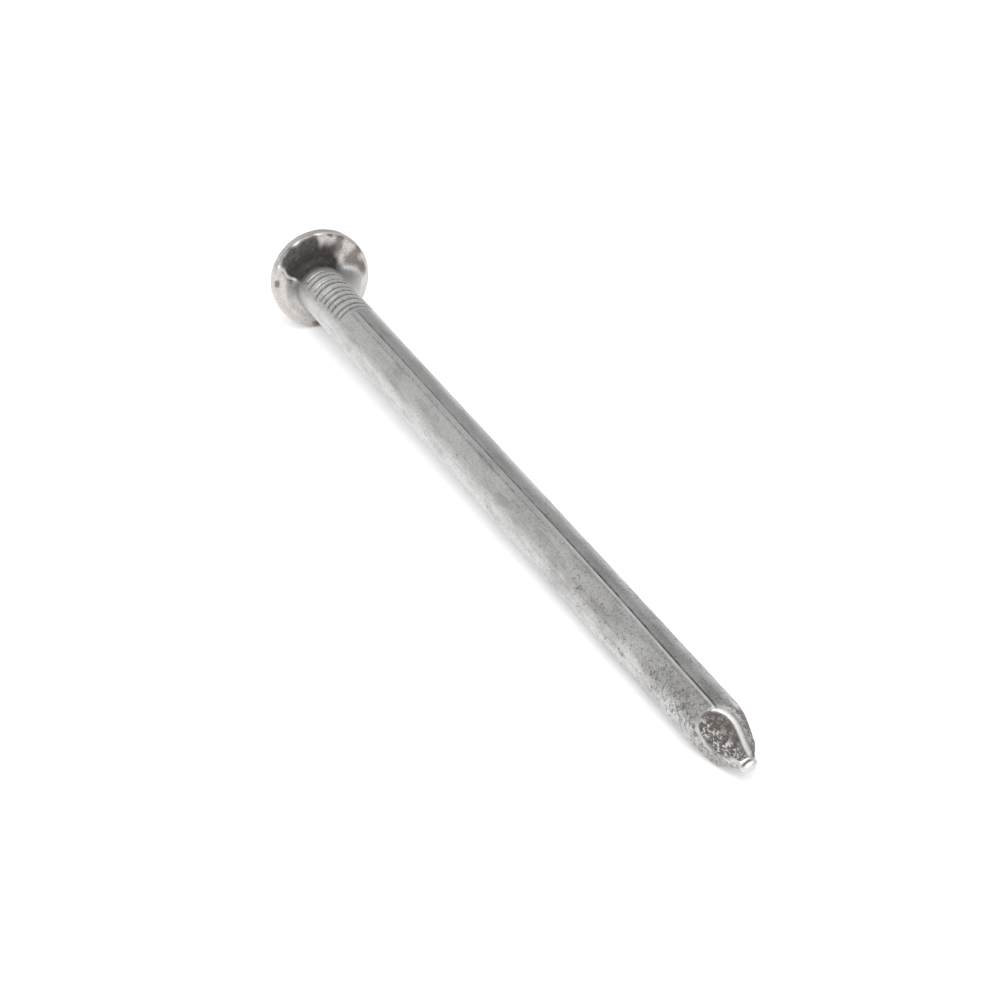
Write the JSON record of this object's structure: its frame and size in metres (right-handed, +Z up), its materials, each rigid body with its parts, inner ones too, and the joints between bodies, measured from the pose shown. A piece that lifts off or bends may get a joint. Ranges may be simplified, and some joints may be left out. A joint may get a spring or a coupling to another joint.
{
  "type": "wire nail",
  "caption": "Plain steel wire nail lying on its side: flat round head, grip marks under the head, straight round shank and a four-sided point.",
  "frame": {"origin": "centre of the head's underside, on the axis of the shank", "axes": "+X along the shank towards the point, +Z up as the nail lies on its side, +Y across it"},
  "size_m": [0.0901, 0.0088, 0.0087],
  "materials": {
    "steel": "drawn wire with thin mill scale, satin, worn bright on its edges"
  },
  "bodies": {
    "root": {"nail": "steel"}
  },
  "joints": []
}
